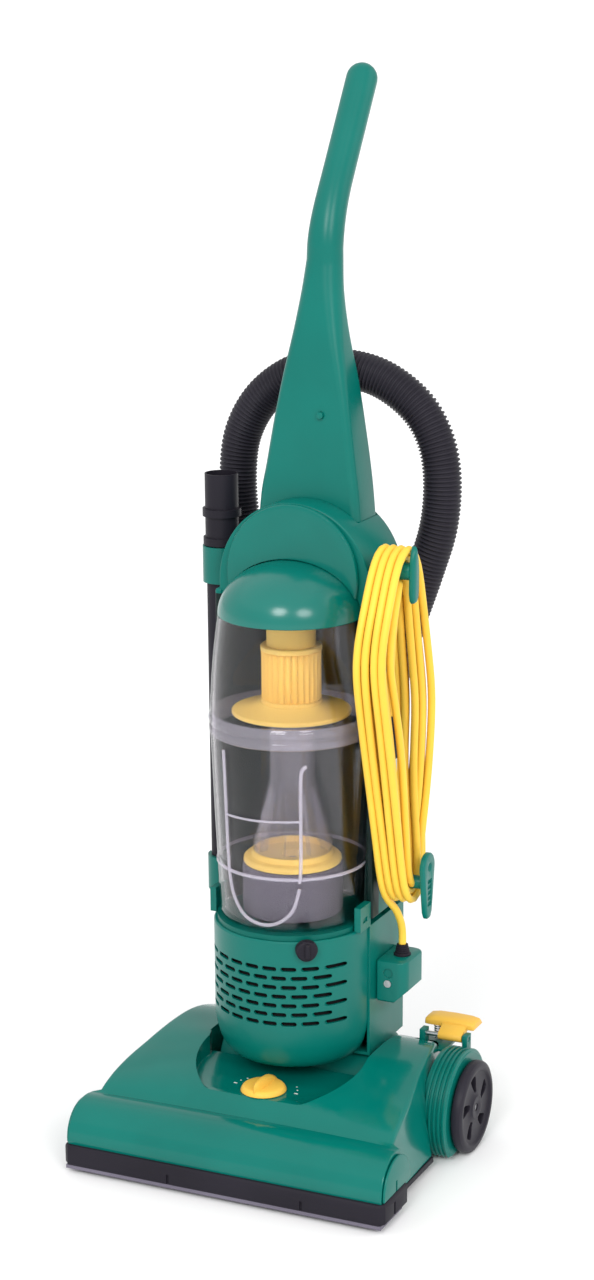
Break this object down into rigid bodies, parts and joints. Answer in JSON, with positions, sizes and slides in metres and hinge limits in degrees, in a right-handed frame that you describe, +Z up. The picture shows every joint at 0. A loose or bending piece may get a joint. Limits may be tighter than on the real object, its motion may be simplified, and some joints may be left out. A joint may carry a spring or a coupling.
{
  "type": "upright vacuum cleaner",
  "caption": "Upright bagless vacuum cleaner with reclining body, clear dust cup, wide brush foot, suction hose, stored wand and wound yellow cord.",
  "frame": {"origin": "floor level under the middle of the machine's overall box, without the loose cord", "axes": "+Z up, -Y towards the front of the foot, +X towards the side that carries the cord"},
  "size_m": [0.374, 0.3759, 1.1],
  "materials": {
    "green_shell": "glossy moulded green plastic",
    "green_trim": "satin moulded green plastic",
    "black_plastic": "fine-grained black plastic",
    "bumper_rubber": "soft black bumper",
    "lip_plastic": "grey lower lip",
    "wheel_plastic": "black moulded wheel",
    "yellow_plastic": "satin yellow plastic",
    "filter_yellow": "yellow filter plastic",
    "filter_foam": "dark grey foam",
    "filter_felt": "white felt",
    "clear_plastic": "clear smoked plastic",
    "steel": "plain steel",
    "bush_plastic": "acetal bush",
    "belt_rubber": "ribbed drive belt",
    "bristle": "nylon bristle",
    "cord_pvc": "smooth yellow cord jacket",
    "hose_plastic": "corrugated black hose"
  },
  "bodies": {
    "foot": {"sole_plate": "black_plastic", "foot_hood": "green_shell", "front_bumper": "bumper_rubber", "nozzle_lip": "lip_plastic", "brush_end_caps": "green_shell", "belt_guard": "green_trim", "foot_screws": "steel", "pivot_bushes": "bush_plastic", "wheel_well_left": "green_shell", "wheel_guard_right": "green_shell", "rear_axles": "steel", "pedal_pin": "steel", "pedal_spring": "steel", "brush_bearings": "steel", "drive_belt": "belt_rubber"},
    "upright": {"motor_housing": "green_shell", "motor_cover": "green_shell", "exhaust_filter": "filter_felt", "motor_stator": "steel", "cup_platform": "green_trim", "body_spine": "green_shell", "badge_plate": "green_shell", "handle": "green_shell", "air_duct": "green_trim", "hose": "hose_plastic", "hose_ports": "black_plastic", "hose_hook": "green_trim", "tool_clips": "green_trim", "cord_hook_upper": "green_trim", "cord_clamp": "green_shell", "body_screws": "steel", "cord_grommet": "black_plastic", "cord_runs": "cord_pvc", "cord_hank": "cord_pvc", "plug": "black_plastic"},
    "dust_cup": {"cup_lower": "clear_plastic", "cup_band": "clear_plastic", "cup_upper": "clear_plastic", "dome_lid": "green_shell", "pleated_filter": "filter_yellow", "filter_flange": "filter_yellow", "cyclone_cone": "clear_plastic", "separator_disc": "filter_yellow", "lower_filter": "filter_foam"},
    "rotor": {"motor_shaft": "steel", "fan": "black_plastic"},
    "brush_roll": {"brush_roll": "wheel_plastic", "brush_bristles": "bristle"},
    "wheel_carriage": {"wheel_carriage": "green_trim"},
    "front_rollers": {"front_rollers": "wheel_plastic"},
    "height_dial": {"height_dial": "yellow_plastic"},
    "release_pedal": {"release_pedal": "yellow_plastic"},
    "rear_wheel_left": {"rear_wheel_left": "wheel_plastic"},
    "rear_wheel_right": {"rear_wheel_right": "wheel_plastic"},
    "power_switch": {"power_switch": "black_plastic"},
    "crevice_tool": {"tool_cuff": "black_plastic", "tool_wand": "black_plastic"},
    "cord_hook": {"cord_hook_lower": "green_trim"},
    "cup_latch": {"cup_latch": "black_plastic"}
  },
  "joints": [
    {"name": "recline", "type": "hinge", "parent": "foot", "child": "upright", "pos_m": [0, 0.04, 0.062], "axis": [-1, 0, 0], "range_deg": [0, 70]},
    {"name": "rear_wheel_left_spin", "type": "hinge", "parent": "foot", "child": "rear_wheel_left", "pos_m": [-0.127, 0.037, 0.0495], "axis": [1, 0, 0], "continuous": true},
    {"name": "rear_wheel_right_spin", "type": "hinge", "parent": "foot", "child": "rear_wheel_right", "pos_m": [0.187, 0.037, 0.0495], "axis": [1, 0, 0], "continuous": true},
    {"name": "carriage_lift", "type": "slide", "parent": "foot", "child": "wheel_carriage", "axis": [0, 0, 1], "range_m": [-0.003, 0.003]},
    {"name": "front_roller_spin", "type": "hinge", "parent": "wheel_carriage", "child": "front_rollers", "pos_m": [0, -0.084, 0.01], "axis": [1, 0, 0], "continuous": true},
    {"name": "dial_turn", "type": "hinge", "parent": "foot", "child": "height_dial", "pos_m": [0.006, -0.093, 0.087], "axis": [0, 0, 1], "range_deg": [-60.5, 60.5]},
    {"name": "pedal_press", "type": "hinge", "parent": "foot", "child": "release_pedal", "pos_m": [0.144, 0.066, 0.112], "axis": [-1, 0, 0], "range_deg": [0, 9], "stiffness_Nm_per_rad": 0.5, "springref_deg": -8.59, "deforming": ["pedal_spring"]},
    {"name": "rotor_spin", "type": "hinge", "parent": "upright", "child": "rotor", "pos_m": [0, 0.04, 0.062], "axis": [1, 0, 0], "continuous": true},
    {"name": "brush_spin", "type": "hinge", "parent": "foot", "child": "brush_roll", "pos_m": [0, -0.146, 0.033], "axis": [1, 0, 0], "continuous": true},
    {"name": "cup_pull", "type": "slide", "parent": "upright", "child": "dust_cup", "axis": [0, -1, 0], "range_m": [0, 0.15]},
    {"name": "latch_swing", "type": "hinge", "parent": "upright", "child": "cup_latch", "pos_m": [0.04597, -0.07278, 0.243], "axis": [0.5446, -0.8387, 0], "range_deg": [0, 90]},
    {"name": "tool_lift", "type": "slide", "parent": "upright", "child": "crevice_tool", "axis": [0, 0, 1], "range_m": [0, 0.25]},
    {"name": "hook_swivel", "type": "hinge", "parent": "upright", "child": "cord_hook", "pos_m": [0.139, 0.023, 0.296], "axis": [1, 0, 0], "range_deg": [0, 180]},
    {"name": "switch_rock", "type": "hinge", "parent": "upright", "child": "power_switch", "pos_m": [0, 0.082, 0.714], "axis": [1, 0, 0], "range_deg": [-8, 8]}
  ],
  "couplings": [
    {"joint": "dial_turn", "follows": "carriage_lift", "rad_per_m": 349},
    {"joint": "brush_spin", "follows": "rotor_spin", "ratio": 0.47}
  ]
}
